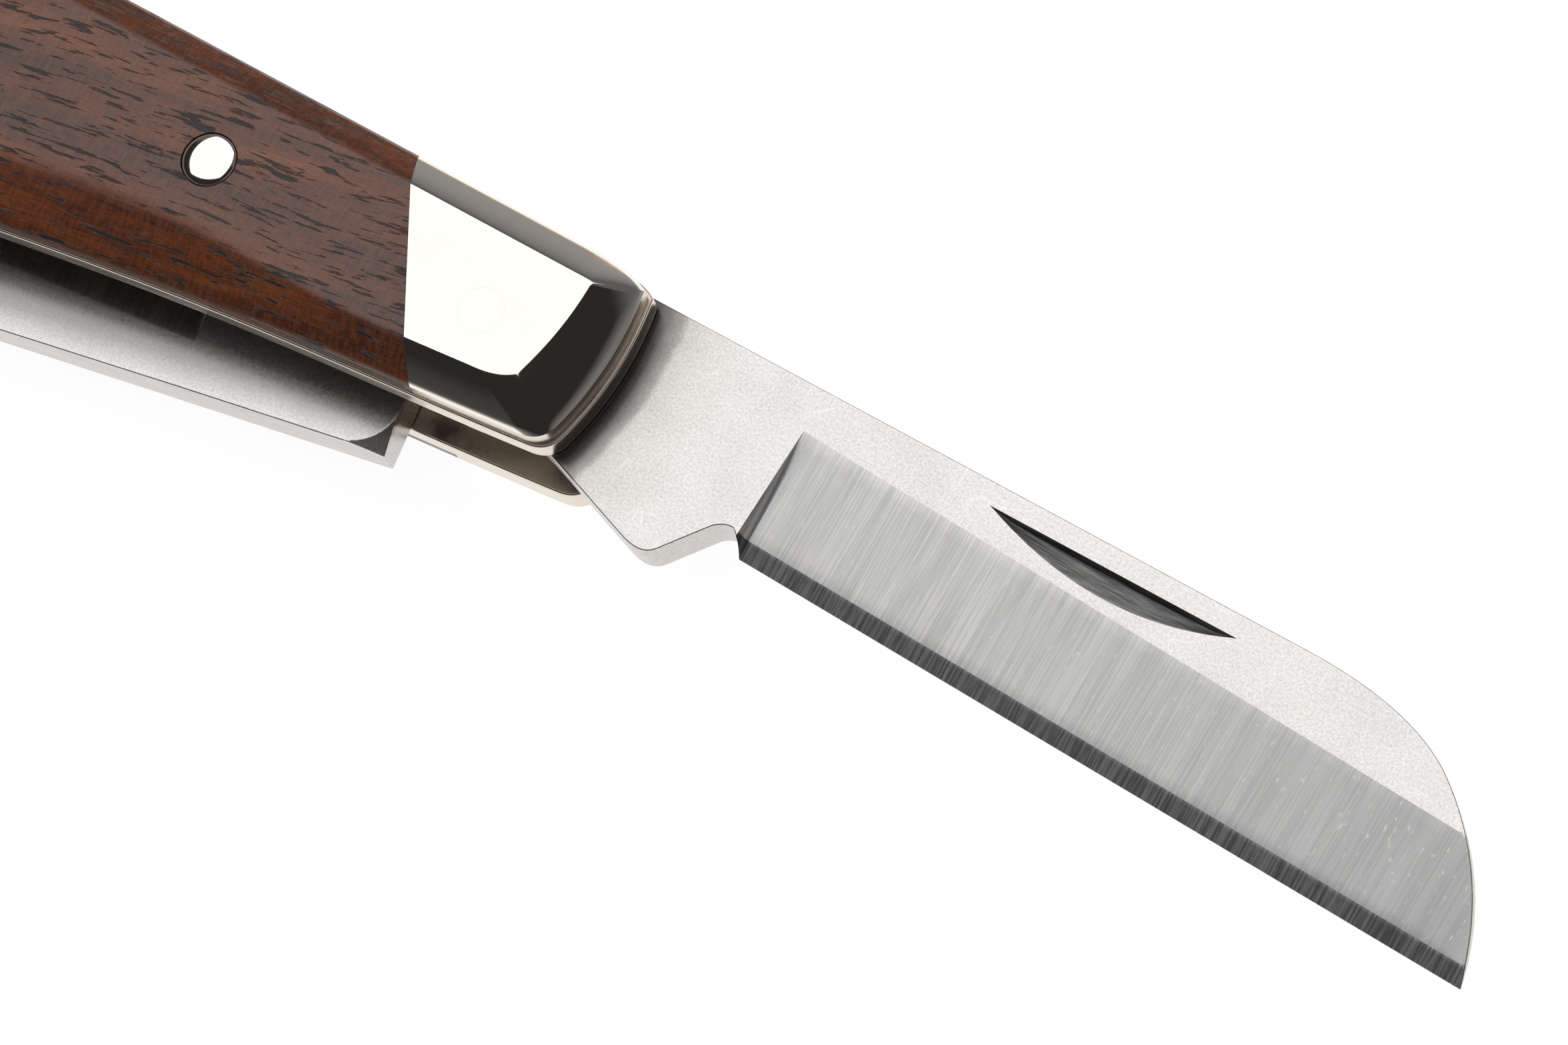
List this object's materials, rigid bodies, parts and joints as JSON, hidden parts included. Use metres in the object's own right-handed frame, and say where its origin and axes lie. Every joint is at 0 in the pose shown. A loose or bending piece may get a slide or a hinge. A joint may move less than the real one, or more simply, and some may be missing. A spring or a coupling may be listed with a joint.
{
  "type": "folding pocket knife",
  "caption": "Slip-joint folding pocket knife with a sheepsfoot, a clip and a spey blade, wooden scales and metal bolsters.",
  "frame": {"origin": "on the front pivot's axis, on the pile side's flat face that the knife lies on", "axes": "+X from the front pivot along the open sheepsfoot blade, +Y towards the back of the handle with the springs, +Z from the pile side to the mark side"},
  "size_m": [0.156, 0.0225, 0.0138],
  "materials": {
    "nickel_silver": "polished nickel silver, warm grey",
    "rosewood": "dark red-brown rosewood, waxed, short black pores along the grain",
    "blade_steel": "tumbled flats, ground bevels with fine lines across the blade",
    "spring_steel": "polished spring steel"
  },
  "bodies": {
    "handle": {"mark_liner": "nickel_silver", "pile_liner": "nickel_silver", "center_liner": "nickel_silver", "mark_scale": "rosewood", "pile_scale": "rosewood", "mark_front_bolster": "nickel_silver", "mark_rear_bolster": "nickel_silver", "pile_front_bolster": "nickel_silver", "pile_rear_bolster": "nickel_silver", "mark_front_scale_pin": "nickel_silver", "mark_rear_scale_pin": "nickel_silver", "pile_front_scale_pin": "nickel_silver", "pile_rear_scale_pin": "nickel_silver", "mark_spring": "spring_steel", "pile_spring": "spring_steel", "front_pivot_pin": "nickel_silver", "rear_pivot_pin": "nickel_silver", "spring_pin": "spring_steel"},
    "sheepsfoot": {"sheepsfoot_blade": "blade_steel"},
    "clip": {"clip_blade": "blade_steel"},
    "spey": {"spey_blade": "blade_steel"}
  },
  "joints": [
    {"name": "sheepsfoot_pivot", "type": "hinge", "parent": "handle", "child": "sheepsfoot", "pos_m": [0, 0, 0.00855], "axis": [0, 0, 1], "range_deg": [-168.7, 0]},
    {"name": "clip_pivot", "type": "hinge", "parent": "handle", "child": "clip", "pos_m": [0, 0, 0.00527], "axis": [0, 0, 1], "range_deg": [0, 169.4]},
    {"name": "spey_pivot", "type": "hinge", "parent": "handle", "child": "spey", "pos_m": [-0.08456, -0.01038, 0.00855], "axis": [0, 0, 1], "range_deg": [-170, 0]}
  ]
}
